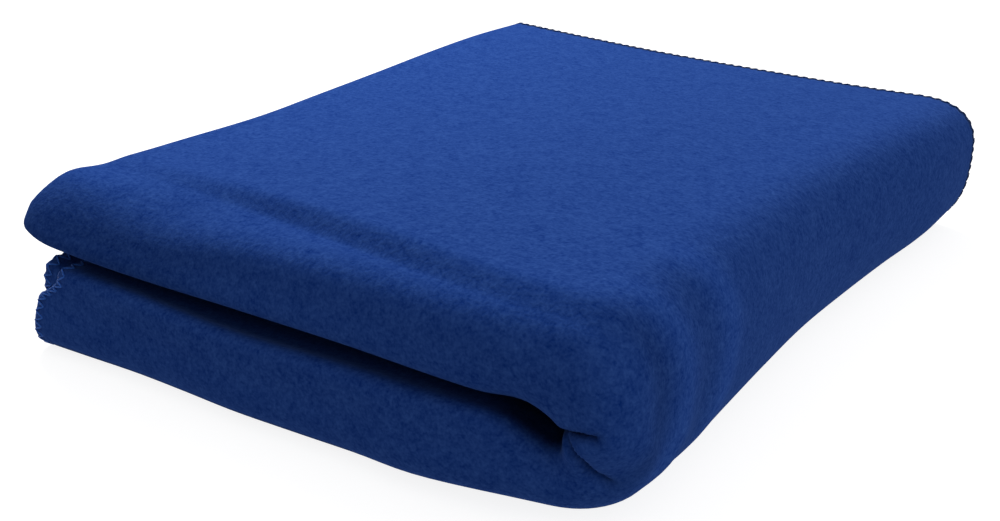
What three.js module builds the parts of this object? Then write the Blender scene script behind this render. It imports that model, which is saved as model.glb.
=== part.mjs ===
// Folded fleece blanket: one sheet of cloth, folded four times into a packet of sixteen layers.
// Millimetres. X runs along the front long fold, Y from front to back, Z up, and the packet lies on Z = 0.
import * as THREE from 'three';

// Driving dimensions
const WIDTH = 307;
const DEPTH = 403.6;
const CLOTH = 2.6;
const NOSE_DEPTH = 19.6;
const WRAP_DEPTH = 36;
const WRAP_SQUARENESS = 2.4;
const FRONT_BLEND = 80;
const BACK_FOLD_INSET = 6;
const SIDE_SKEW = 4.6;
const BACK_TWIST = 4.0;
const CORNER_LIFT = 4.9;
const TROUGH_DEPTH_FROM_FRONT = 48;
const TROUGH_WIDTH = 17;
const RIDGE_DEPTH_FROM_FRONT = 20;
const RIDGE_WIDTH = 14;
const RIDGE_HEIGHT = 2.3;
const HEM_PULL = 16;
const HEM_PULL_LEVELS = 3.5;

// The doubled cloth lies in four levels, counted from where the two halves of the packet meet.
// One cloth runs half a level above the doubled one and the other half a level below it.
const HALF_LEVEL = 0.5;
const OUTER_LEVEL = 7.5;
const NOSE_CENTRE_LEVEL = 4;
const OUTER_NOSE_LEVELS = 3;
const INNER_NOSE_LEVELS = 1;
const BACK_FOLD_CENTRE_LEVEL = 2;
const BACK_FOLD_LEVELS = 1;

// How far the innermost layers stay from where the halves meet, as a share of the half's height
const UPPER_HOLLOW = 0.02;
const SIDE_HOLLOW = 0.1;

// Mesh steps
const OUTER_NOSE_STEPS = 8;
const INNER_NOSE_STEPS = 4;
const BACK_FOLD_STEPS = 5;
const WRAP_STEPS = 8;
const CAP_STEPS = 4;
const DEPTH_SHARES = [0, 0.04, 0.08, 0.14, 0.26, 0.5, 0.76, 1];
const WIDTH_SHARES = [0, 0.2, 0.45, 0.7, 0.87, 1];

// Sections from the left end to the right end, evenly spaced. Heights are above the ground, the hollow is
// a share of the lower half's height, and the trough runs behind the front fold.
const ACROSS = [
  { topFront: 79.6, topBack: 85.0, meet: 48.2, lowerHollow: 0.02, trough: 0.5, backOut: -0.2 },
  { topFront: 80.1, topBack: 82.3, meet: 44.5, lowerHollow: 0.02, trough: 2.0, backOut: -3.8 },
  { topFront: 79.6, topBack: 79.8, meet: 41.1, lowerHollow: 0.03, trough: 3.0, backOut: -6.6 },
  { topFront: 82.9, topBack: 77.4, meet: 41.1, lowerHollow: 0.07, trough: 3.5, backOut: -6.2 },
  { topFront: 84.9, topBack: 75.7, meet: 41.3, lowerHollow: 0.14, trough: 3.5, backOut: -4.3 },
  { topFront: 86.9, topBack: 73.7, meet: 42.1, lowerHollow: 0.14, trough: 2.0, backOut: 1.4 },
];

// The two front folds at the same sections: how far each stands forward, and how far it tips
const FRONT_FOLDS = [
  { upperOut: -2.0, lowerOut: 0.0, upperLean: 2.3, lowerLean: 12.0 },
  { upperOut: -2.3, lowerOut: -0.8, upperLean: 1.0, lowerLean: 9.4 },
  { upperOut: -0.8, lowerOut: 0.3, upperLean: 1.6, lowerLean: 7.8 },
  { upperOut: 1.0, lowerOut: 0.4, upperLean: 1.8, lowerLean: 7.2 },
  { upperOut: 1.4, lowerOut: -1.1, upperLean: 1.8, lowerLean: 6.7 },
  { upperOut: 1.0, lowerOut: -10.9, upperLean: 0.8, lowerLean: 1.3 },
];

// Sections from the front to the back, evenly spaced
const DEEP = [
  { sideOut: 1.5, leftRise: 1.1, leftShift: 0.0 },
  { sideOut: -2.7, leftRise: -1.0, leftShift: 0.3 },
  { sideOut: -7.2, leftRise: -1.3, leftShift: 0.4 },
  { sideOut: -3.2, leftRise: 1.3, leftShift: -0.9 },
  { sideOut: 0.6, leftRise: 0.2, leftShift: -2.0 },
];

// One row for each level of the doubled cloth: where its left fold, its two left hems and its back end lie,
// measured inward from the plain edge
const LEVELS = [
  { level: 1, leftFold: 1.0, outerHem: 4.0, innerHem: 6.0, backEnd: 0 },
  { level: 3, leftFold: 2.5, outerHem: 5.0, innerHem: 3.0, backEnd: 0 },
  { level: 5, leftFold: 1.5, outerHem: 3.0, innerHem: 5.5, backEnd: 4.0 },
  { level: 7, leftFold: 4.5, outerHem: 0.0, innerHem: 2.5, backEnd: 0 },
];

const FRONT = -DEPTH / 2;
const BACK = DEPTH / 2;
const LEFT = -WIDTH / 2;
const NOSE_UNIT = (NOSE_DEPTH - CLOTH / 2) / (OUTER_NOSE_LEVELS + HALF_LEVEL);
const NOSE_CENTRE = FRONT + NOSE_DEPTH;
const BACK_FOLD_CENTRE = BACK - BACK_FOLD_INSET - (BACK_FOLD_LEVELS + HALF_LEVEL) * NOSE_UNIT;
const WRAP_CENTRE = WIDTH / 2 - WRAP_DEPTH;
const WRAP_RADIUS = WRAP_DEPTH - CLOTH / 2;

function smooth(value) {
  const t = Math.min(Math.max(value, 0), 1);
  return t * t * (3 - 2 * t);
}

function bump(distance, width) {
  return Math.exp(-((distance / width) ** 2));
}

// A smooth curve through the evenly spaced rows of a table
function along(rows, column, share) {
  const last = rows.length - 1;
  const place = Math.min(Math.max(share, 0), 1) * last;
  const row = Math.min(Math.floor(place), last - 1);
  const t = place - row;
  const here = rows[row][column];
  const next = rows[row + 1][column];
  const before = row > 0 ? rows[row - 1][column] : 2 * here - next;
  const after = row + 2 <= last ? rows[row + 2][column] : 2 * next - here;
  const slope = (next - before) * t;
  const bend = (2 * before - 5 * here + 4 * next - after) * t * t;
  const twist = (3 * here - 3 * next + after - before) * t * t * t;
  return here + (slope + bend + twist) / 2;
}

// A straight-line reading of the rows in LEVELS at any level
function atLevel(column, level) {
  const clamped = Math.min(Math.max(level, LEVELS[0].level), LEVELS[LEVELS.length - 1].level);
  const row = LEVELS.findIndex((entry, index) => index > 0 && clamped <= entry.level);
  const low = LEVELS[row - 1];
  const high = LEVELS[row];
  const t = (clamped - low.level) / (high.level - low.level);
  return low[column] + (high[column] - low[column]) * t;
}

// The unevenness of the real packet: every layer follows it, so that the layers never cross
function settle(x, y, height) {
  const u = Math.min(Math.max((x - LEFT) / WIDTH, 0), 1);
  const v = Math.min(Math.max((y - FRONT) / DEPTH, 0), 1);
  const fromFront = y - FRONT;
  const nearFront = 1 - smooth(fromFront / FRONT_BLEND);
  const upper = Math.max(height, 0);
  const lower = Math.max(-height, 0);
  const meet = along(ACROSS, 'meet', u);
  const slope = along(ACROSS, 'topFront', u) * (1 - v) + along(ACROSS, 'topBack', u) * v;
  const leftRise = along(DEEP, 'leftRise', v) * (1 - smooth(u / 0.5));
  const trough = along(ACROSS, 'trough', u) * bump(fromFront - TROUGH_DEPTH_FROM_FRONT, TROUGH_WIDTH);
  const ridge = RIDGE_HEIGHT * bump(fromFront - RIDGE_DEPTH_FROM_FRONT, RIDGE_WIDTH);
  const top = slope + leftRise - trough + ridge;
  const lift = CORNER_LIFT * lower * lower * nearFront * smooth((u - 0.55) / 0.3);
  const half = CLOTH / 2;
  const z = height < 0 ? half + (meet - half) * (1 + height) : meet + (top - half - meet) * height;
  const upperOut = smooth(upper / 0.5) * along(FRONT_FOLDS, 'upperOut', u);
  const lowerOut = smooth(lower / 0.5) * along(FRONT_FOLDS, 'lowerOut', u);
  const upperLean = along(FRONT_FOLDS, 'upperLean', u) * (upper - 0.5) * smooth(upper / 0.25);
  const lowerLean = along(FRONT_FOLDS, 'lowerLean', u) * (lower - 0.5) * smooth(lower / 0.25);
  const backOut = BACK_TWIST * (u - 0.5) * v + along(ACROSS, 'backOut', u) * v;
  const side = smooth((u - 0.3) / 0.7) * along(DEEP, 'sideOut', v);
  const left = (1 - smooth(u / 0.7)) * along(DEEP, 'leftShift', v);
  return new THREE.Vector3(
    x + SIDE_SKEW * v + side + left,
    y + nearFront * (upperLean - lowerLean - upperOut - lowerOut) + backOut,
    z + lift,
  );
}

// The doubled cloth from hem to hem, seen from the end: depth, level, and the way to its first cloth
function sectionStations() {
  const stations = [];
  const depths = DEPTH_SHARES.map((share) => NOSE_CENTRE + (BACK_FOLD_CENTRE - NOSE_CENTRE) * share);
  const pass = (level, way, ordered) => {
    for (const y of ordered) stations.push({ y, level, outY: 0, outLevel: way });
  };
  const turn = (centreY, centreLevel, levels, side, from, steps, sense) => {
    for (let step = 1; step < steps; step += 1) {
      const angle = from * (Math.PI / 2 - (Math.PI * step) / steps);
      stations.push({
        y: centreY + side * levels * NOSE_UNIT * Math.cos(angle),
        level: centreLevel + levels * Math.sin(angle),
        outY: sense * side * Math.cos(angle),
        outLevel: sense * Math.sin(angle),
      });
    }
  };
  const backwards = [...depths].reverse();
  pass(5, -1, [BACK - atLevel('backEnd', 5), ...backwards]);
  turn(NOSE_CENTRE, NOSE_CENTRE_LEVEL, INNER_NOSE_LEVELS, -1, 1, INNER_NOSE_STEPS, -1);
  pass(3, 1, depths);
  turn(BACK_FOLD_CENTRE, BACK_FOLD_CENTRE_LEVEL, BACK_FOLD_LEVELS, 1, 1, BACK_FOLD_STEPS, 1);
  pass(1, -1, backwards);
  turn(NOSE_CENTRE, NOSE_CENTRE_LEVEL, OUTER_NOSE_LEVELS, -1, -1, OUTER_NOSE_STEPS, 1);
  pass(7, 1, [...depths, BACK - atLevel('backEnd', 7)]);
  return stations;
}

// The way of the cloth from the lower left hem, round the wrap, to the left fold, and back again
function wayStations() {
  const half = [];
  for (const share of WIDTH_SHARES) half.push({ part: 'lower', share });
  for (let step = 1; step < WRAP_STEPS; step += 1) {
    half.push({ part: 'wrap', angle: -Math.PI / 2 + (Math.PI * step) / WRAP_STEPS });
  }
  for (const share of [...WIDTH_SHARES].reverse()) half.push({ part: 'upper', share });
  const way = half.map((station) => ({ ...station, side: HALF_LEVEL }));
  for (let step = 1; step < CAP_STEPS; step += 1) {
    const angle = (Math.PI * step) / CAP_STEPS;
    way.push({ part: 'cap', out: Math.sin(angle), side: HALF_LEVEL * Math.cos(angle) });
  }
  for (const station of [...half].reverse()) way.push({ ...station, side: -HALF_LEVEL });
  return way;
}

// Where the cut edge of a lower layer lies: the outer one is pulled to the right at the top of the front fold
function lowerHem(section, side, level) {
  const column = side > 0 ? 'outerHem' : 'innerHem';
  const pulled = side > 0 && section.level < OUTER_LEVEL - 1 && section.outLevel < 0 ? 1 : 0;
  const frontShare = 1 - smooth((section.y - FRONT) / (DEPTH / 2));
  const pull = pulled * HEM_PULL * frontShare * (1 - smooth(level / HEM_PULL_LEVELS));
  return LEFT + atLevel(column, section.level) + pull;
}

function middlePoint(section, station) {
  const level = section.level + station.side * section.outLevel;
  const y = section.y + station.side * section.outY * NOSE_UNIT;
  const share = level / OUTER_LEVEL;
  const reach = (hollow) => hollow + (1 - hollow) * share;
  if (station.part === 'wrap') {
    const cosine = Math.cos(station.angle);
    const sine = Math.sin(station.angle);
    const power = WRAP_SQUARENESS;
    const square = (Math.abs(cosine) ** power + Math.abs(sine) ** power) ** (-1 / power);
    const lowerHollow = along(ACROSS, 'lowerHollow', (WRAP_CENTRE - LEFT) / WIDTH);
    const endHollow = sine < 0 ? lowerHollow : UPPER_HOLLOW;
    const radius = square * reach(SIDE_HOLLOW + (endHollow - SIDE_HOLLOW) * sine * sine);
    return settle(WRAP_CENTRE + WRAP_RADIUS * radius * cosine, y, radius * sine);
  }
  const leftFold = LEFT + atLevel('leftFold', section.level);
  if (station.part === 'cap') {
    return settle(leftFold - HALF_LEVEL * NOSE_UNIT * station.out, y, reach(UPPER_HOLLOW));
  }
  const start = station.part === 'lower' ? lowerHem(section, station.side, level) : leftFold;
  const x = start + (WRAP_CENTRE - start) * station.share;
  if (station.part === 'upper') return settle(x, y, reach(UPPER_HOLLOW));
  return settle(x, y, -reach(along(ACROSS, 'lowerHollow', (x - LEFT) / WIDTH)));
}

// Gives the middle surface its thickness and closes it along the hems
function thicken(grid) {
  const rows = grid.length;
  const columns = grid[0].length;
  const vertices = [];
  const triangles = [];
  const across = new THREE.Vector3();
  const down = new THREE.Vector3();
  for (const face of [1, -1]) {
    for (let row = 0; row < rows; row += 1) {
      for (let column = 0; column < columns; column += 1) {
        down.subVectors(grid[Math.min(row + 1, rows - 1)][column], grid[Math.max(row - 1, 0)][column]);
        across.subVectors(grid[row][Math.min(column + 1, columns - 1)], grid[row][Math.max(column - 1, 0)]);
        const normal = new THREE.Vector3().crossVectors(across, down).normalize();
        const point = grid[row][column].clone().addScaledVector(normal, (face * CLOTH) / 2);
        vertices.push(point.x, point.y, point.z);
      }
    }
  }
  const front = (row, column) => row * columns + column;
  const back = (row, column) => rows * columns + row * columns + column;
  const quad = (a, b, c, d) => triangles.push(a, b, c, a, c, d);
  for (let row = 0; row < rows - 1; row += 1) {
    for (let column = 0; column < columns - 1; column += 1) {
      quad(front(row, column), front(row, column + 1), front(row + 1, column + 1), front(row + 1, column));
      quad(back(row, column), back(row + 1, column), back(row + 1, column + 1), back(row, column + 1));
    }
  }
  for (let row = 0; row < rows - 1; row += 1) {
    quad(front(row, 0), front(row + 1, 0), back(row + 1, 0), back(row, 0));
    const end = columns - 1;
    quad(front(row + 1, end), front(row, end), back(row, end), back(row + 1, end));
  }
  for (let column = 0; column < columns - 1; column += 1) {
    quad(front(0, column + 1), front(0, column), back(0, column), back(0, column + 1));
    const end = rows - 1;
    quad(front(end, column), front(end, column + 1), back(end, column + 1), back(end, column));
  }
  const geometry = new THREE.BufferGeometry();
  geometry.setAttribute('position', new THREE.Float32BufferAttribute(vertices, 3));
  geometry.setIndex(triangles);
  return geometry;
}

function blanket() {
  const way = wayStations();
  const grid = sectionStations().map((section) => way.map((station) => middlePoint(section, station)));
  const geometry = thicken(grid);
  geometry.computeBoundingBox();
  const box = geometry.boundingBox;
  geometry.translate(-(box.min.x + box.max.x) / 2, -(box.min.y + box.max.y) / 2, 0);
  geometry.computeVertexNormals();
  const fleece = new THREE.MeshStandardMaterial({ color: 0x1f3f8c, roughness: 0.95, metalness: 0 });
  const mesh = new THREE.Mesh(geometry, fleece);
  mesh.name = 'blanket';
  return mesh;
}

const group = new THREE.Group();
group.add(blanket());

export default group;
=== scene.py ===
import math

import bpy
import numpy as np
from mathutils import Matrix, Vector


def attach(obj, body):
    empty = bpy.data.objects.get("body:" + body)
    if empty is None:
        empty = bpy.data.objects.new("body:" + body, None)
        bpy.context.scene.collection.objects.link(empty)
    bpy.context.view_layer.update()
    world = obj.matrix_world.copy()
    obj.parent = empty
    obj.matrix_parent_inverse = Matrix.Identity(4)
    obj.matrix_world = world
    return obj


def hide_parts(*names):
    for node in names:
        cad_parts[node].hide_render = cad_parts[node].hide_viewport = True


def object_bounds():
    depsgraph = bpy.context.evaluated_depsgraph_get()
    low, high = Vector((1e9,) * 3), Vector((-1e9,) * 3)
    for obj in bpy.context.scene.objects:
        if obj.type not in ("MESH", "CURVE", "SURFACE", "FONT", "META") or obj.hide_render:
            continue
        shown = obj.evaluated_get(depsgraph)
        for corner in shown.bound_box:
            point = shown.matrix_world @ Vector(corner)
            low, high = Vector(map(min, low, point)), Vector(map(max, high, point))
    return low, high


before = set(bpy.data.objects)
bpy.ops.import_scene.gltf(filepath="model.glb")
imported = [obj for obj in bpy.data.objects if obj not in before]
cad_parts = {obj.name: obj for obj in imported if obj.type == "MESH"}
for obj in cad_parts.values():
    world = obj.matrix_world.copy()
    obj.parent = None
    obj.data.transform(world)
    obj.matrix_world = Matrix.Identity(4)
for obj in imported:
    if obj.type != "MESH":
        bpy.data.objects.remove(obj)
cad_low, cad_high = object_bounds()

# A fleece blanket folded into a packet of sixteen layers, on a pale floor
# Sizes are in millimetres, and MM turns them into the scene's metres
MM = 0.001
TINY = 1e-6

# The packet. A squareness of 2 is round, and more is squarer
ROUND = 2.0
WIDTH = 307.0
DEPTH = 403.6
CLOTH = 2.6
NOSE_DEPTH = 19.6
WRAP_DEPTH = 36.0
WRAP_SQUARENESS = 2.7
FRONT_BLEND = 80.0
BACK_FOLD_INSET = 6.0
SIDE_SKEW = 4.6
BACK_TWIST = 4.0
CORNER_LIFT = 4.9
DROOP_REACH = 60.0
LOWER_LIP_SQUARENESS = 6.0
LOWER_LIP_OUT = 4.0
LIP_FADE = 25.0
GAP_DIP_START = 5.0
GAP_DIP_LENGTH = 12.0
GAP_DIP_REACH = 90.0
GAP_DIP_FADE = 20.0
CORNER_BACK = 6.1
CORNER_REACH = 22.3
PIT_X = 115.0
PIT_Z = 42.0
PIT_CORE = 4.0
PIT_WIDTH = 9.0
PIT_PUSH = 2.2
PIT_REACH = 60.0
CREASE_WIDTH = 2.1
CREASE_REACH = 40.0
RIDGE_FROM_FRONT = 20.0
RIDGE_WIDTH = 14.0
PINCH_DEPTH = 9.0
PINCH_PLACE = 124.0
PINCH_WIDTH = 12.0
PINCH_HEIGHT = 22.0
PINCH_REACH = 70.0
HEM_PULL = 15.0
HEM_PULL_START = 3.3
HEM_PULL_LEVELS = 1.6
HEM_FAN_LEVELS = 1.0
END_FOLD_MIDDLE = 55.0
END_FOLD_SPAN = 28.0
END_FOLD_BEND = 7.0

# Shares of the packet's width, counted from the left end, that its unevenness reaches over
LEFT_RISE_REACH = 0.5
LEFT_SHIFT_REACH = 0.7
SIDE_OUT_START = 0.3
SIDE_OUT_LENGTH = 0.7
CORNER_LIFT_START = 0.55
CORNER_LIFT_LENGTH = 0.3

# Shares of a half's height, counted from the gap between the halves
DIP_SHARE = 0.12
LEAN_SHARE = 0.25
LEAN_MIDDLE = 0.5
OUT_SHARE = 0.5
LIP_OUT_SHARE = 0.6

# The doubled cloth lies in four levels, counted from where the two halves of the packet meet
HALF_LEVEL = 0.5
OUTER_LEVEL = 7.5
NOSE_CENTRE_LEVEL = 4.0
OUTER_NOSE_LEVELS = 3.0
INNER_NOSE_LEVELS = 1.0
BACK_FOLD_CENTRE_LEVEL = 2.0
BACK_FOLD_LEVELS = 1.0
SIDE_HOLLOW = 0.1

# The overlock stitch round the cut edges
HEM_THICKNESS = 1.7
STITCH_PITCH = 5.2
STITCH_JITTER = 0.4
STITCH_SEED = 7
THREAD_RADIUS = 0.45
CORD_RADIUS = 0.7
THREAD_SIDES = 5
HEM_TABLE_STEP = 0.5
HEM_TABLE_DEPTH = 8.0

# Mesh steps, and how much those from front to back crowd towards the front
CROWDING = 1.35
TOP_STEPS = 78
MIDDLE_STEPS = 18
GAP_STEPS = 26
OUTER_NOSE_STEPS = 44
INNER_NOSE_STEPS = 8
BACK_FOLD_STEPS = 10
LOWER_WIDTH_STEPS = 34
WRAP_STEPS = 48
UPPER_WIDTH_STEPS = 74
CAP_STEPS = 8
INNER_WIDTH_STEPS = 24
INNER_WRAP_STEPS = 24

# Each column holds values at evenly spaced sections from the left end to the right end
ACROSS = {
    "top_front": (79.6, 80.1, 79.6, 82.9, 84.9, 86.9),
    "top_back": (85.1, 82.2, 79.6, 77.5, 75.7, 74.3),
    "meet": (50.2, 47.5, 44.3, 45.1, 45.3, 46.1),
    "upper_hollow": (0.12, 0.1, 0.12, 0.09, 0.05, 0.08),
    "lower_hollow": (0.02, 0.02, 0.02, 0.01, 0.0, 0.02),
    "upper_squareness": (2.4, 4.3, 4.5, 4.5, 4.5, 4.5),
    "top_squareness": (2.6, 3.8, 3.6, 3.0, 2.4, 2.0),
    "gap_dip": (0.0, 4.0, 5.0, 4.5, 3.5, 6.0),
    "swell": (1.0, 3.0, 7.2, 8.2, 6.0, 4.0),
    "step_from_front": (54.0, 46.0, 35.0, 23.0, 18.5, 18.0),
    "step_width": (22.0, 18.0, 15.0, 14.0, 13.0, 13.0),
    "front_droop": (5.5, 13.0, 3.0, 0.0, 0.0, 0.0),
    "ridge": (2.4, 0.5, 0.0, 0.0, 0.0, 0.0),
    "back_out": (-0.7, -4.7, -6.6, -6.0, -4.2, 1.4),
    "upper_out": (8.0, 3.6, -0.8, 1.0, 1.4, 1.0),
    "lower_out": (-0.7, -0.6, -0.8, 0.1, 1.4, 0.9, 0.4, 2.7, 0.1, -5.8, -14.7),
    "upper_back": (12.3, 18.0, 12.0, 6.0, 0.0, 0.0),
    "upper_lean": (8.2, 1.0, 1.6, 1.8, 1.8, 0.8),
    "lower_lean": (13.9, 9.4, 7.8, 7.2, 7.3, 0.3),
    # face_shade is painted shade on the upper half's front
    "face_shade": (0.2, 0.28, 0.06, 0.0, 0.0, 0.0),
}

# Each column holds values at evenly spaced sections from the front to the back
DEEP = {
    "side_out": (1.7, 0.4, -2.7, -5.5, -7.3, -5.9, -3.4, 0.2, -0.5),
    "left_rise": (3.2, -0.8, -1.4, -2.6, -2.1, -1.0, 0.3, 1.0, 0.2),
    "left_shift": (-3.5, -1.3, 2.0, 2.1, 0.3, -0.4, -1.4, -1.5, 0.1),
}

# Soft troughs and ridges down the right end: how far each stands out, and its painted light and shade,
# lighter where above 0 and darker where below 0
END_FOLDS = {
    "from_front": (30.0, 49.0, 70.0, 92.0),
    "width": (8.0, 8.0, 9.0, 10.0),
    "out": (-0.8, 1.0, -0.9, 0.8),
    "shade": (-0.22, 0.22, -0.08, 0.27),
}

# How far in from the packet's edge each level of the doubled cloth ends: left fold, left hems, back end
LEVELS = {
    "level": (1.0, 3.0, 5.0, 7.0),
    "left_fold": (1.0, 2.5, 1.5, 4.5),
    "outer_hem": (8.0, 8.5, 5.0, 0.5),
    "inner_hem": (9.5, 6.5, 7.0, 3.0),
    "back_end": (0.0, 0.0, 4.0, 0.0),
}

# Two creases that run on from the pit, seen from the front: points along them, and the depth there
SIDE_CREASE = {
    "x": (127.0, 132.0, 137.5, 142.5, 145.5),
    "z": (42.0, 44.6, 46.2, 46.5, 44.0),
    "depth": (5.0, 5.5, 5.5, 4.5, 0.0),
}
DOWN_CREASE = {
    "x": (130.0, 133.3, 136.0, 137.4, 140.8, 144.3),
    "z": (42.5, 39.3, 35.5, 29.2, 24.4, 19.9),
    "depth": (3.0, 5.0, 5.5, 5.5, 4.5, 0.0),
}

# The points of one stitch: how far along it, in from the edge and above the cloth's face each one is
LEG = {
    "along": (0.0, 0.14, 0.4, 0.5, 0.6, 0.86),
    "inward": (-0.2, 1.0, 4.0, 4.7, 4.0, 1.0),
    "above": (0.0, 0.25, 0.2, -0.3, 0.2, 0.25),
}
CORD = {
    "along": (0.0, 0.25, 0.5, 0.75),
    "inward": (-0.7, -0.3, 0.0, -0.3),
    "above": (0.4, 0.1, -0.2, 0.1),
}

# The threads along a cut edge: the stitch, the cloth's face that it lies on (0 is the edge), its radius
THREADS = ((LEG, 1, THREAD_RADIUS), (LEG, -1, THREAD_RADIUS), (CORD, 0, CORD_RADIUS))

# What a hem table holds for each place: the cloth's middle, its normal and half its thickness
POINT = slice(0, 3)
NORMAL = slice(3, 6)
HALF_THICKNESS = 6

# The short pile's tufts, larger patches and fibres: how many to a metre, their detail and their weight
PILE = {
    "scale": (370.0, 110.0, 850.0),
    "detail": (3.0, 2.0, 2.0),
    "shade": (1.7, 0.7, 1.7),
}
TUFT_RELIEF = 0.6
FIBRE_RELIEF = 0.4
RELIEF_STRENGTH = 0.6
RELIEF_DEPTH = 0.8
STRAND_SCALE = 1500.0
STRAND_DETAIL = 1.0

# Colours: the middle, and how far the shade takes them to both sides of it
FLEECE_COLOUR = (0.0145, 0.05, 0.23)
FLEECE_SPREAD = (0.0165, 0.036, 0.085)
THREAD_COLOUR = (0.03, 0.11, 0.45)
THREAD_SPREAD = (0.03, 0.1, 0.4)

# Painted shade of the hems, gap, pit, floor contact, creases and left front: how dark it makes the cloth
# and threads, where each such shade begins and how far it reaches
BACK_THREAD_SHADE = 0.25
BACK_HEM_SHADE = 0.4
FLOOR_SHADE = 0.55
FLOOR_SHADE_HEIGHT = 5.2
FLOOR_SHADE_FADE = 2.5
GAP_SHADE = 0.4
GAP_SHADE_END_LEVEL = 2.5
PIT_SHADE = 0.85
PIT_SHADE_START = 88.0
PIT_SHADE_LENGTH = 20.0
PIT_SHADE_DEPTH = 9.0
CREASE_SHADE = 0.6
FACE_SHADE_RISE = 3.0
FACE_SHADE_DEPTH = 12.0
FACE_SHADE_FADE = 16.0

# The camera, fitted to the photo's outline
PHOTO_WIDTH = 1000
CAMERA_AZIMUTH = 33.8
CAMERA_ELEVATION = 22.1
CAMERA_DISTANCE = 689.0
CAMERA_TARGET = (-18.5, -16.2, 13.7)
FOCAL_PIXELS = 1330.0
SENSOR_WIDTH = 36.0

# The studio's even light from straight below (0) past the horizon (0.5) to straight above (1)
STUDIO = {
    "rise": (0.0, 0.47, 0.52, 0.66, 0.78),
    "light": (1.0, 1.0, 0.25, 0.25, 1.5),
}
STUDIO_STRENGTH = 0.46

# The lights: where each stands and how wide and high it is, in metres, and its power in watts
LIGHTS = {
    "key": {"place": (-1.1, 1.2, 1.6), "size": (0.7, 0.7), "power": 19.0},
    "near": {"place": (-0.5, 0.2, 0.5), "size": (0.3, 0.3), "power": 2.9},
    "side": {"place": (1.4, 0.0, 0.4), "size": (1.0, 0.6), "power": 3.1},
}
LIGHT_TARGET = (0.0, 0.0, 0.0)

# The floor, which glows a little so that it stays as pale as the photo's
FLOOR_REACH = 6000.0
FLOOR_GREY = 0.3
FLOOR_GLOW = 0.86

FRONT = -DEPTH / 2
BACK = DEPTH / 2
LEFT = -WIDTH / 2
NOSE_UNIT = (NOSE_DEPTH - CLOTH / 2) / (OUTER_NOSE_LEVELS + HALF_LEVEL)
NOSE_CENTRE = FRONT + NOSE_DEPTH
BACK_FOLD_CENTRE = BACK - BACK_FOLD_INSET - (BACK_FOLD_LEVELS + HALF_LEVEL) * NOSE_UNIT
WRAP_CENTRE = WIDTH / 2 - WRAP_DEPTH
WRAP_RADIUS = WRAP_DEPTH - CLOTH / 2


def smooth(value):
    t = np.clip(value, 0.0, 1.0)
    return t * t * (3.0 - 2.0 * t)


def bump(distance, width):
    return np.exp(-((distance / width) ** 2))


def along(values, share):
    """A smooth curve through evenly spaced values."""
    values = np.asarray(values, float)
    last = len(values) - 1
    padded = np.concatenate([[2 * values[0] - values[1]], values, [2 * values[-1] - values[-2]]])
    place = np.clip(share, 0.0, 1.0) * last
    row = np.minimum(np.floor(place).astype(int), last - 1)
    t = place - row
    before, here, after, beyond = padded[row], padded[row + 1], padded[row + 2], padded[row + 3]
    slope = (after - before) * t
    bend = (2 * before - 5 * here + 4 * after - beyond) * t**2
    twist = (3 * here - 3 * after + beyond - before) * t**3
    return here + (slope + bend + twist) / 2


def across(column, u):
    """A column of ACROSS at u, from 0 at the left end to 1 at the right end."""
    return along(ACROSS[column], u)


def deep(column, v):
    """A column of DEEP at v, from 0 at the front to 1 at the back."""
    return along(DEEP[column], v)


def unit(vectors):
    return vectors / np.linalg.norm(vectors, axis=-1, keepdims=True)


def reach(hollow, share):
    """The share of a half's height at a level. The hollow is the share left free next to the gap."""
    return hollow + (1 - hollow) * share


def lip_share(x):
    """1 along the front, fading out before the layers turn up into the right end."""
    return 1 - smooth((x - WRAP_CENTRE) / LIP_FADE + 1)


def at_level(column, level):
    return np.interp(level, LEVELS["level"], LEVELS[column])


def square_lips(x, u, from_front, height):
    """Squares the front of both halves: sharply into the gap, and more or less so into the top."""
    lower = height < 0
    hollow = np.where(lower, across("lower_hollow", u), across("upper_hollow", u))
    inner = reach(hollow, HALF_LEVEL / OUTER_LEVEL)
    centre = (1 + inner) / 2
    radius = (1 - inner) / 2
    outer = np.abs(height) > centre
    gap_power = np.where(lower, LOWER_LIP_SQUARENESS, across("upper_squareness", u))
    outer_power = np.where(lower, ROUND, across("top_squareness", u))
    power = np.where(outer, outer_power, gap_power)
    ahead = np.maximum(1 - from_front / NOSE_DEPTH, 0)
    near = np.abs(centre - np.abs(height)) / radius
    here = (ahead > 0) & (near > 0)
    ahead = np.where(here, ahead, 1)
    near = np.where(here, near, 0)
    square = np.hypot(ahead, near) / (ahead**power + near**power) ** (1 / power)
    square = 1 + (square - 1) * lip_share(x)
    from_front = np.where(here, NOSE_DEPTH * (1 - ahead * square), from_front)
    reached = centre + near * square * radius * np.where(outer, 1, -1)
    height = np.where(here, reached * np.where(lower, -1, 1), height)
    return from_front, height


def widen_pit(x, z, from_front):
    """The gap ends in a pit at the front: the layers round it are pushed outward."""
    distance = np.hypot(x - PIT_X, z - PIT_Z) + TINY
    push = PIT_PUSH * smooth(distance / PIT_CORE) * bump(distance, PIT_WIDTH)
    push = push * (1 - smooth(from_front / PIT_REACH))
    return x + push * (x - PIT_X) / distance, z + push * (z - PIT_Z) / distance


def crease(points, x, z):
    """The depth of a crease at x and z: a soft trough along its line of points."""
    deepest = np.zeros_like(x)
    for here in range(len(points["x"]) - 1):
        start_x, end_x = points["x"][here : here + 2]
        start_z, end_z = points["z"][here : here + 2]
        start_depth, end_depth = points["depth"][here : here + 2]
        run_x = end_x - start_x
        run_z = end_z - start_z
        length = math.hypot(run_x, run_z)
        share = np.clip(((x - start_x) * run_x + (z - start_z) * run_z) / length**2, 0, 1)
        distance = np.hypot(x - start_x - share * run_x, z - start_z - share * run_z)
        depth = (start_depth + (end_depth - start_depth) * share) * bump(distance, CREASE_WIDTH)
        deepest = np.maximum(deepest, depth)
    return deepest


def both_creases(x, z):
    return np.maximum(crease(SIDE_CREASE, x, z), crease(DOWN_CREASE, x, z))


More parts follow.
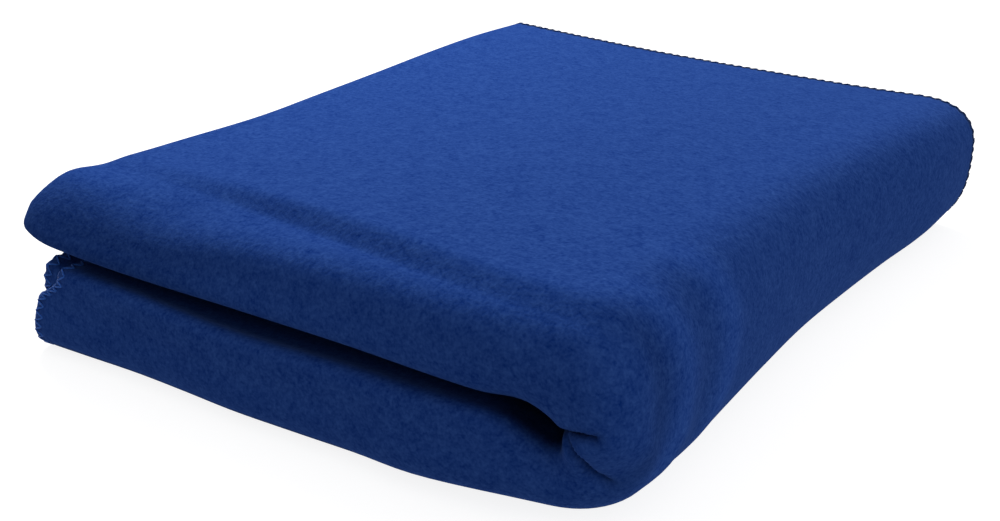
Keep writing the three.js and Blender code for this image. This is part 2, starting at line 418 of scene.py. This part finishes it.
def end_folds(x, z, from_front, column):
    """The right end's soft folds: how far they stand out, and with the shade column their painted light
    and shade. They curve forward above and below, and fade out at the floor.
    """
    bent = from_front + END_FOLD_BEND * ((z - END_FOLD_MIDDLE) / END_FOLD_SPAN) ** 2
    total = np.zeros_like(bent)
    for place, width, value in zip(END_FOLDS["from_front"], END_FOLDS["width"], END_FOLDS[column]):
        total = total + value * bump(bent - place, width)
    return total * smooth((x - WRAP_CENTRE) / WRAP_DEPTH) * smooth(z / END_FOLD_SPAN)


def top_height(u, v, from_front):
    """The height of the packet's top: it slopes, steps up behind the front fold and droops at the left."""
    slope = across("top_front", u) * (1 - v) + across("top_back", u) * v
    left_rise = deep("left_rise", v) * (1 - smooth(u / LEFT_RISE_REACH))
    droop = across("front_droop", u) * np.clip(1 - from_front / DROOP_REACH, 0, 1) ** 2
    step = smooth((from_front - across("step_from_front", u)) / across("step_width", u) + 0.5)
    swell = across("swell", u) * step * (1 - v)
    ridge = across("ridge", u) * bump(from_front - RIDGE_FROM_FRONT, RIDGE_WIDTH)
    return slope + left_rise + swell + ridge - droop


def gap_dip(x, u, from_front, lower):
    """How far the lower half's upper layers sink behind the front of the gap."""
    dip = smooth((from_front - GAP_DIP_START) / GAP_DIP_LENGTH)
    dip = dip * (1 - smooth(from_front / GAP_DIP_REACH))
    dip = across("gap_dip", u) * dip * smooth(lower / DIP_SHARE) * (1 - smooth(lower))
    return dip * (1 - smooth((x - WRAP_CENTRE) / GAP_DIP_FADE))


def settled_height(x, u, v, from_front, height, near_front):
    """How high above the floor a layer lies. height is -1 at the bottom, 0 at the gap and 1 on top."""
    lower = np.maximum(-height, 0.0)
    meet = across("meet", u)
    half = CLOTH / 2
    below = half + (meet - half) * (1 + height) - gap_dip(x, u, from_front, lower)
    above = meet + (top_height(u, v, from_front) - half - meet) * height
    corner_share = smooth((u - CORNER_LIFT_START) / CORNER_LIFT_LENGTH)
    z = np.where(height < 0, below, above) + CORNER_LIFT * lower**2 * near_front * corner_share
    pinch = PINCH_DEPTH * bump(x - PINCH_PLACE, PINCH_WIDTH) * (1 - smooth(from_front / PINCH_REACH))
    return z - pinch * bump(z - meet, PINCH_HEIGHT)


def set_back(x, u, height):
    """How far back a layer lies at the front, where both folds lean and stand forward unevenly."""
    upper = np.maximum(height, 0.0)
    lower = np.maximum(-height, 0.0)
    upper_out = smooth(upper / OUT_SHARE) * across("upper_out", u)
    lower_out = smooth(lower / OUT_SHARE) * across("lower_out", u)
    lip_out = LOWER_LIP_OUT * lip_share(x) * (height < 0) * (1 - smooth(lower / LIP_OUT_SHARE))
    upper_lean = across("upper_lean", u) * (upper - LEAN_MIDDLE) * smooth(upper / LEAN_SHARE)
    lower_lean = across("lower_lean", u) * (lower - LEAN_MIDDLE) * smooth(lower / LEAN_SHARE)
    upper_back = across("upper_back", u) * upper
    corner = CORNER_BACK * np.clip(1 - (x - LEFT) / CORNER_REACH, 0, 1) ** 2 * (height > 0)
    return corner + upper_lean + upper_back - lower_lean - upper_out - (lower_out + lip_out)


def settle(x, y, height):
    """The unevenness of the real packet: every layer follows it, so that the layers never cross."""
    u = np.clip((x - LEFT) / WIDTH, 0.0, 1.0)
    v = np.clip((y - FRONT) / DEPTH, 0.0, 1.0)
    near_front = 1.0 - smooth((y - FRONT) / FRONT_BLEND)
    from_front, height = square_lips(x, u, y - FRONT, height)
    z = settled_height(x, u, v, from_front, height, near_front)
    moved_y = FRONT + from_front + near_front * set_back(x, u, height)
    moved_y = moved_y + (BACK_TWIST * (u - 0.5) * v + across("back_out", u) * v)
    side = smooth((u - SIDE_OUT_START) / SIDE_OUT_LENGTH) * deep("side_out", v)
    left = (1 - smooth(u / LEFT_SHIFT_REACH)) * deep("left_shift", v)
    x, z = widen_pit(x, z, from_front)
    moved_x = x + SIDE_SKEW * v + side + left + end_folds(x, z, from_front, "out")
    moved_y = moved_y + both_creases(moved_x, z) * (1 - smooth(from_front / CREASE_REACH))
    return np.stack([moved_x, moved_y, z], axis=-1)


def section_stations():
    """The doubled cloth from hem to hem, seen from the end: depth, level, way to its first layer."""
    stations = []

    def pass_through(level, way, start, end, steps):
        """A level from start to end, with closer steps towards the front."""
        share = np.linspace(0.0, 1.0, steps + 1)
        if start < end:
            share = share**CROWDING
        else:
            share = 1.0 - (1.0 - share) ** CROWDING
        for y in start + (end - start) * share:
            stations.append((y, level, 0.0, way))

    def turn(centre_y, centre_level, levels, side, first, steps, sense):
        """A half turn. side is 1 at the back and -1 at the front, and first is 1 where it starts above."""
        for step in range(1, steps):
            angle = first * (math.pi / 2 - math.pi * step / steps)
            y = centre_y + side * levels * NOSE_UNIT * math.cos(angle)
            level = centre_level + levels * math.sin(angle)
            stations.append((y, level, sense * side * math.cos(angle), sense * math.sin(angle)))

    first, second, third, fourth = LEVELS["level"]
    inner_back = BACK - at_level("back_end", third)
    outer_back = BACK - at_level("back_end", fourth)
    pass_through(third, -1, inner_back, NOSE_CENTRE, MIDDLE_STEPS)
    turn(NOSE_CENTRE, NOSE_CENTRE_LEVEL, INNER_NOSE_LEVELS, -1, 1, INNER_NOSE_STEPS, -1)
    pass_through(second, 1, NOSE_CENTRE, BACK_FOLD_CENTRE, MIDDLE_STEPS)
    turn(BACK_FOLD_CENTRE, BACK_FOLD_CENTRE_LEVEL, BACK_FOLD_LEVELS, 1, 1, BACK_FOLD_STEPS, 1)
    pass_through(first, -1, BACK_FOLD_CENTRE, NOSE_CENTRE, GAP_STEPS)
    turn(NOSE_CENTRE, NOSE_CENTRE_LEVEL, OUTER_NOSE_LEVELS, -1, -1, OUTER_NOSE_STEPS, 1)
    pass_through(fourth, 1, NOSE_CENTRE, outer_back, TOP_STEPS)
    return np.array(stations).T


def front_lip(section_y, section_level, way_level, level):
    """How near a layer is to the lower half's front edge under the gap: 1 at the edge, 0 from there on."""
    outermost = (section_level < OUTER_LEVEL - 1) & (way_level < 0)
    front_share = 1 - smooth((section_y - FRONT) / (DEPTH / 2))
    return outermost * front_share * smooth((HEM_PULL_START - level) / HEM_PULL_LEVELS)


def lower_hem(section_level, side, lip):
    """Where the cut edge of a lower layer lies. The outer one is pulled to the right at the front."""
    column = "outer_hem" if side > 0 else "inner_hem"
    return LEFT + at_level(column, section_level) + HEM_PULL * lip * (side > 0)


def middle_surface():
    """The middle of the cloth as a grid, from hem to hem: its rows run across the packet."""
    section_y, section_level, out_y, out_level = section_stations()
    wrap_share = (WRAP_CENTRE - LEFT) / WIDTH
    columns = []

    def add(part, side, value):
        level = section_level + side * out_level
        y = section_y + side * out_y * NOSE_UNIT
        share = level / OUTER_LEVEL
        left_fold = LEFT + at_level("left_fold", section_level)
        if part == "wrap":
            cosine = math.cos(value)
            sine = math.sin(value)
            power = WRAP_SQUARENESS
            square = (abs(cosine) ** power + abs(sine) ** power) ** (-1 / power)
            end_hollow = across("lower_hollow" if sine < 0 else "upper_hollow", wrap_share)
            radius = square * reach(SIDE_HOLLOW + (end_hollow - SIDE_HOLLOW) * sine**2, share)
            columns.append(settle(WRAP_CENTRE + WRAP_RADIUS * radius * cosine, y, radius * sine))
        elif part == "cap":
            x = left_fold - HALF_LEVEL * NOSE_UNIT * value
            columns.append(settle(x, y, reach(across("upper_hollow", (x - LEFT) / WIDTH), share)))
        elif part == "upper":
            x = left_fold + (WRAP_CENTRE - left_fold) * value
            columns.append(settle(x, y, reach(across("upper_hollow", (x - LEFT) / WIDTH), share)))
        else:
            lip = front_lip(section_y, section_level, out_level, level)
            start = lower_hem(section_level, side, lip)
            x = start + (WRAP_CENTRE - start) * value
            fan = HEM_FAN_LEVELS * lip * (side < 0) * (1 - smooth((x - start) / HEM_PULL))
            hollow = across("lower_hollow", (x - LEFT) / WIDTH)
            columns.append(settle(x, y, -reach(hollow, share - fan / OUTER_LEVEL)))

    def half(side, lower_steps, wrap_steps, upper_steps):
        way = [("lower", share) for share in np.linspace(0, 1, lower_steps + 1)]
        way += [("wrap", angle) for angle in np.linspace(-math.pi / 2, math.pi / 2, wrap_steps + 1)[1:-1]]
        way += [("upper", share) for share in np.linspace(1, 0, upper_steps + 1)]
        return way if side > 0 else way[::-1]

    for part, value in half(1, LOWER_WIDTH_STEPS, WRAP_STEPS, UPPER_WIDTH_STEPS):
        add(part, HALF_LEVEL, value)
    for step in range(1, CAP_STEPS):
        angle = math.pi * step / CAP_STEPS
        add("cap", HALF_LEVEL * math.cos(angle), math.sin(angle))
    for part, value in half(-1, INNER_WIDTH_STEPS, INNER_WRAP_STEPS, INNER_WIDTH_STEPS):
        add(part, -HALF_LEVEL, value)
    return np.stack(columns, axis=1)


def grid_normals(grid):
    down = np.gradient(grid, axis=0)
    beside = np.gradient(grid, axis=1)
    return unit(np.cross(beside, down))


def both_faces(grid, normals, half):
    """The points of the cloth's two faces, half its thickness to each side of its middle."""
    return np.concatenate([(grid + normals * half).reshape(-1, 3), (grid - normals * half).reshape(-1, 3)])


def mesh_object(name, vertices, faces):
    mesh = bpy.data.meshes.new(name)
    mesh.from_pydata((np.asarray(vertices) * MM).tolist(), [], faces)
    mesh.validate()
    mesh.polygons.foreach_set("use_smooth", [True] * len(mesh.polygons))
    obj = bpy.data.objects.new(name, mesh)
    bpy.context.scene.collection.objects.link(obj)
    return obj


def store_shade(obj, shade):
    """Keeps the painted light and shade for each of the mesh's points, which the materials multiply their
    colour by.
    """
    layer = obj.data.attributes.new("painted_light_and_shade", "FLOAT", "POINT")
    layer.data.foreach_set("value", shade)


def quads(first, second, third, fourth):
    return np.stack([first, second, third, fourth], axis=-1).reshape(-1, 4)


def gap_shade(x, y):
    """Painted shade: how much darker the cloth is made in the gap between the two halves, and most of all
    in its pit.
    """
    _, section_level, _, out_level = section_stations()
    faces_gap = (smooth(GAP_SHADE_END_LEVEL - section_level) * (out_level < 0))[:, None]
    inside = smooth((y - y.min(axis=0)) / PIT_SHADE_DEPTH)
    in_pit = smooth((x - PIT_SHADE_START) / PIT_SHADE_LENGTH)
    return faces_gap * inside * (GAP_SHADE + (PIT_SHADE - GAP_SHADE) * in_pit)


def face_shade(x, y, z):
    """Painted shade: how much darker the upper half's front is made, towards the left."""
    u = (x - LEFT) / WIDTH
    above_gap = smooth((z - across("meet", u)) / FACE_SHADE_RISE)
    at_front = 1 - smooth((y - FRONT - FACE_SHADE_DEPTH) / FACE_SHADE_FADE)
    return across("face_shade", u) * (above_gap * at_front)


def painted_light_and_shade(grid):
    """Painted light and shade at each point of the cloth: about 1 where no hem, fold, crease or floor
    shade is painted on it.
    """
    x, y, z = np.moveaxis(grid, -1, 0)
    shade = np.ones(x.shape)
    # Painted shade along the two back hems
    shade[[0, -1], :] = BACK_HEM_SHADE
    # Painted shade in the gap and its pit
    shade *= 1 - gap_shade(x, y)
    # Painted contact shadow next to the floor
    shade *= 1 - FLOOR_SHADE * (1 - smooth((z - FLOOR_SHADE_HEIGHT) / FLOOR_SHADE_FADE))
    # Painted light and shade along the right end's folds
    shade *= 1 + end_folds(x, z, y - FRONT, "shade")
    # Painted shade on the upper half's front at the left
    shade *= 1 - face_shade(x, y, z)
    # Painted shade in the two creases
    near_front = 1 - smooth((y - FRONT) / CREASE_REACH)
    return shade * (1 - CREASE_SHADE * near_front * both_creases(x, z) / max(SIDE_CREASE["depth"]))


def build_sheet(grid, normals, thickness, shade):
    rows, columns, _ = grid.shape
    vertices = both_faces(grid, normals, thickness[..., None] / 2)
    face = np.arange(rows * columns).reshape(rows, columns)
    back = face + rows * columns
    parts = [
        quads(face[:-1, :-1], face[:-1, 1:], face[1:, 1:], face[1:, :-1]),
        quads(back[:-1, :-1], back[1:, :-1], back[1:, 1:], back[:-1, 1:]),
        quads(face[:-1, 0], face[1:, 0], back[1:, 0], back[:-1, 0]),
        quads(face[1:, -1], face[:-1, -1], back[:-1, -1], back[1:, -1]),
        quads(face[0, 1:], face[0, :-1], back[0, :-1], back[0, 1:]),
        quads(face[-1, :-1], face[-1, 1:], back[-1, 1:], back[-1, :-1]),
    ]
    sheet = mesh_object("fleece_sheet", vertices, np.concatenate(parts).tolist())
    store_shade(sheet, np.tile(shade.ravel(), 2))
    return sheet


def hem_tables(grid, normals, thickness):
    """The cloth beside each cut edge: rows go in from the edge, columns go along it."""
    data = np.concatenate([grid, normals, thickness[..., None] / 2], axis=-1)
    depths = np.arange(0.0, HEM_TABLE_DEPTH, HEM_TABLE_STEP)
    tables = []
    for strip in (data, data[::-1], data.swapaxes(0, 1), data[:, ::-1].swapaxes(0, 1)):
        steps = np.linalg.norm(np.diff(strip[..., POINT], axis=0), axis=-1)
        inward = np.concatenate([np.zeros((1, strip.shape[1])), np.cumsum(steps, axis=0)])
        columns = []
        for column in range(strip.shape[1]):
            values = [np.interp(depths, inward[:, column], part) for part in strip[:, column].T]
            columns.append(np.stack(values, axis=-1))
        tables.append(np.stack(columns, axis=1))
    return tables


def read_table(table, row, column):
    """The table's values between its rows and columns."""
    top = np.clip(np.floor(row).astype(int), 0, table.shape[0] - 2)
    left = np.clip(np.floor(column).astype(int), 0, table.shape[1] - 2)
    down = (row - top)[:, None]
    right = (column - left)[:, None]
    upper = table[top, left] * (1 - right) + table[top, left + 1] * right
    lower = table[top + 1, left] * (1 - right) + table[top + 1, left + 1] * right
    return upper * (1 - down) + lower * down


def thread_line(table, stitch, face, chance):
    """One thread along a cut edge: the points it passes, and the cloth's normals there."""
    steps = np.linalg.norm(np.diff(table[0, :, POINT], axis=0), axis=-1)
    distance = np.concatenate([[0.0], np.cumsum(steps)])
    count = max(int(round(distance[-1] / STITCH_PITCH)), 1)
    places = (np.arange(count)[:, None] + np.array(stitch["along"])).ravel() / count * distance[-1]
    uneven = np.repeat(chance.normal(0, STITCH_JITTER, count), len(stitch["inward"]))
    inward = np.tile(stitch["inward"], count) * (1 + uneven / STITCH_PITCH)
    places = places + uneven / 2
    above = np.tile(stitch["above"], count)
    column = np.interp(places, distance, np.arange(len(distance)))
    values = read_table(table, inward / HEM_TABLE_STEP, column)
    normal = unit(values[:, NORMAL])
    height = face * (values[:, HALF_THICKNESS] + above) if face else above
    return values[:, POINT] + normal * height[:, None], normal


def tube(points, normals, radius):
    """A round thread along the points."""
    way = unit(np.gradient(points, axis=0))
    side = unit(np.cross(way, normals))
    up = np.cross(side, way)
    rings = []
    for step in range(THREAD_SIDES):
        angle = 2 * math.pi * step / THREAD_SIDES
        rings.append(points + radius * (side * math.cos(angle) + up * math.sin(angle)))
    vertices = np.stack(rings, axis=1)
    number = np.arange(len(points) * THREAD_SIDES).reshape(len(points), THREAD_SIDES)
    beside = np.roll(number, -1, axis=1)
    faces = quads(number[:-1], beside[:-1], beside[1:], number[1:]).tolist()
    faces.append(number[0][::-1].tolist())
    faces.append(number[-1].tolist())
    return vertices.reshape(-1, 3), faces


def build_stitching(grid, normals, thickness):
    """The threads along the cloth's four cut edges. The first two edges lie at the packet's back."""
    vertices = []
    faces = []
    shades = []
    count = 0
    chance = np.random.default_rng(STITCH_SEED)
    # Painted shade: the threads on the two back edges are made darker than those on the left edges
    edge_shades = (BACK_THREAD_SHADE, BACK_THREAD_SHADE, 1.0, 1.0)
    for table, shade in zip(hem_tables(grid, normals, thickness), edge_shades):
        for stitch, face, radius in THREADS:
            points, along_normals = thread_line(table, stitch, face, chance)
            more_vertices, more_faces = tube(points, along_normals, radius)
            vertices.append(more_vertices)
            faces += [[number + count for number in corners] for corners in more_faces]
            shades.append(np.full(len(more_vertices), shade))
            count += len(more_vertices)
    stitching = mesh_object("edge_stitching", np.concatenate(vertices), faces)
    store_shade(stitching, np.concatenate(shades))
    return stitching


def new_material(name):
    material = bpy.data.materials.new(name)
    material.use_nodes = True
    tree = material.node_tree
    return material, tree.nodes, tree.links, tree.nodes["Principled BSDF"]


def noise(nodes, links, position, scale, detail):
    """Even noise from 0 to 1."""
    node = nodes.new("ShaderNodeTexNoise")
    node.inputs["Scale"].default_value = scale
    node.inputs["Detail"].default_value = detail
    links.new(position.outputs["Object"], node.inputs["Vector"])
    return node.outputs["Fac"]


def weighted_sum(nodes, links, start, parts):
    """start plus each value times its weight."""
    total = None
    for value, weight in parts:
        node = nodes.new("ShaderNodeMath")
        node.operation = "MULTIPLY_ADD"
        links.new(value, node.inputs[0])
        node.inputs[1].default_value = weight
        if total is None:
            node.inputs[2].default_value = start
        else:
            links.new(total, node.inputs[2])
        total = node.outputs[0]
    return total


def shaded_colour(nodes, links, shade, middle, spread):
    """middle plus spread times a shade that is 0 on average, and all of it times the mesh's painted light
    and shade.
    """
    colour = nodes.new("ShaderNodeVectorMath")
    colour.operation = "MULTIPLY_ADD"
    links.new(shade, colour.inputs[0])
    colour.inputs[1].default_value = spread
    colour.inputs[2].default_value = middle
    fold = nodes.new("ShaderNodeAttribute")
    fold.attribute_name = "painted_light_and_shade"
    darker = nodes.new("ShaderNodeVectorMath")
    darker.operation = "SCALE"
    links.new(colour.outputs["Vector"], darker.inputs[0])
    links.new(fold.outputs["Fac"], darker.inputs["Scale"])
    return darker.outputs["Vector"]


def fleece_material():
    """Short pile: tufts and fibres in colour and relief, larger patches in colour, and a faint sheen."""
    material, nodes, links, shader = new_material("fleece")
    position = nodes.new("ShaderNodeTexCoord")
    grains = zip(PILE["scale"], PILE["detail"])
    tufts, patches, fibres = [noise(nodes, links, position, scale, detail) for scale, detail in grains]
    parts = list(zip((tufts, patches, fibres), PILE["shade"]))
    shade = weighted_sum(nodes, links, -sum(PILE["shade"]) / 2, parts)
    colour = shaded_colour(nodes, links, shade, FLEECE_COLOUR, FLEECE_SPREAD)
    links.new(colour, shader.inputs["Base Color"])
    height = weighted_sum(nodes, links, 0.0, ((tufts, TUFT_RELIEF), (fibres, FIBRE_RELIEF)))
    relief = nodes.new("ShaderNodeBump")
    relief.inputs["Strength"].default_value = RELIEF_STRENGTH
    relief.inputs["Distance"].default_value = RELIEF_DEPTH * MM
    links.new(height, relief.inputs["Height"])
    links.new(relief.outputs["Normal"], shader.inputs["Normal"])
    shader.inputs["Roughness"].default_value = 0.95
    shader.inputs["Specular IOR Level"].default_value = 0.0
    shader.inputs["Sheen Weight"].default_value = 0.2
    shader.inputs["Sheen Roughness"].default_value = 0.4
    shader.inputs["Sheen Tint"].default_value = (0.2, 0.38, 1.0, 1)
    return material


def thread_material():
    """Dark blue thread with its strands just visible as a fine uneven shade."""
    material, nodes, links, shader = new_material("thread")
    position = nodes.new("ShaderNodeTexCoord")
    strands = noise(nodes, links, position, STRAND_SCALE, STRAND_DETAIL)
    shade = weighted_sum(nodes, links, -0.5, ((strands, 1.0),))
    colour = shaded_colour(nodes, links, shade, THREAD_COLOUR, THREAD_SPREAD)
    links.new(colour, shader.inputs["Base Color"])
    shader.inputs["Roughness"].default_value = 0.5
    shader.inputs["Specular IOR Level"].default_value = 0.1
    shader.inputs["Specular Tint"].default_value = (0.12, 0.4, 1.0, 1)
    return material


def build_floor():
    """A pale floor that glows a little. It throws no light back on the blanket."""
    far = FLOOR_REACH
    corners = ((-far, -far, 0), (far, -far, 0), (far, far, 0), (-far, far, 0))
    floor = mesh_object("floor", corners, [(0, 1, 2, 3)])
    material, _, _, shader = new_material("floor")
    shader.inputs["Base Color"].default_value = (FLOOR_GREY, FLOOR_GREY, FLOOR_GREY, 1)
    shader.inputs["Roughness"].default_value = 0.9
    shader.inputs["Emission Color"].default_value = (1, 1, 1, 1)
    shader.inputs["Emission Strength"].default_value = FLOOR_GLOW
    floor.data.materials.append(material)
    floor.visible_diffuse = False


def build_world():
    """The studio's light from all round, whose strength depends on how high it comes from."""
    world = bpy.data.worlds.new("studio")
    bpy.context.scene.world = world
    world.use_nodes = True
    nodes = world.node_tree.nodes
    links = world.node_tree.links
    background = nodes["Background"]
    background.inputs["Strength"].default_value = STUDIO_STRENGTH
    direction = nodes.new("ShaderNodeTexCoord")
    parts = nodes.new("ShaderNodeSeparateXYZ")
    links.new(direction.outputs["Generated"], parts.inputs["Vector"])
    rise = nodes.new("ShaderNodeMapRange")
    rise.inputs["From Min"].default_value = -1.0
    rise.inputs["From Max"].default_value = 1.0
    links.new(parts.outputs["Z"], rise.inputs["Value"])
    ramp = nodes.new("ShaderNodeValToRGB")
    elements = ramp.color_ramp.elements
    elements.remove(elements[1])
    for place, value in zip(STUDIO["rise"], STUDIO["light"]):
        element = elements.new(place) if place > 0 else elements[0]
        element.color = (value, value, value, 1)
    links.new(rise.outputs["Result"], ramp.inputs["Fac"])
    links.new(ramp.outputs["Color"], background.inputs["Color"])


def build_lights():
    """Lights that all point at the middle of the packet, at the floor."""
    for name, row in LIGHTS.items():
        light = bpy.data.lights.new(name, "AREA")
        light.shape = "RECTANGLE"
        light.size, light.size_y = row["size"]
        light.energy = row["power"]
        obj = bpy.data.objects.new(name, light)
        obj.location = row["place"]
        way = Vector(LIGHT_TARGET) - Vector(row["place"])
        obj.rotation_euler = way.to_track_quat("-Z", "Y").to_euler()
        bpy.context.scene.collection.objects.link(obj)


def build_camera(shift):
    camera = bpy.data.cameras.new("camera")
    camera.sensor_fit = "HORIZONTAL"
    camera.sensor_width = SENSOR_WIDTH
    camera.lens = FOCAL_PIXELS * SENSOR_WIDTH / PHOTO_WIDTH
    azimuth = math.radians(CAMERA_AZIMUTH)
    elevation = math.radians(CAMERA_ELEVATION)
    back = Vector((
        math.sin(azimuth) * math.cos(elevation),
        -math.cos(azimuth) * math.cos(elevation),
        math.sin(elevation),
    ))
    obj = bpy.data.objects.new("camera", camera)
    obj.location = (Vector(CAMERA_TARGET) + Vector(shift) + back * CAMERA_DISTANCE) * MM
    obj.rotation_euler = (-back).to_track_quat("-Z", "Y").to_euler()
    bpy.context.scene.collection.objects.link(obj)
    bpy.context.scene.camera = obj


grid = middle_surface()
normals = grid_normals(grid)
outside = both_faces(grid, normals, CLOTH / 2)
middle = (outside.min(axis=0) + outside.max(axis=0)) / 2
cad_middle = (np.array(cad_low) + np.array(cad_high)) / 2 / MM
shift = np.array([cad_middle[0] - middle[0], cad_middle[1] - middle[1], 0.0])
# The painted light and shade at each point of the cloth
shade = painted_light_and_shade(grid)
grid = grid + shift

thickness = np.full(grid.shape[:2], CLOTH)
thickness[[0, -1], :] = HEM_THICKNESS
thickness[:, [0, -1]] = HEM_THICKNESS
sheet = build_sheet(grid, normals, thickness, shade)
sheet.data.materials.append(fleece_material())
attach(sheet, "root")
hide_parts("blanket")
stitching = build_stitching(grid, normals, thickness)
stitching.data.materials.append(thread_material())
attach(stitching, "root")

build_floor()
build_world()
build_lights()
build_camera(shift)
bpy.context.scene.view_settings.view_transform = "Standard"
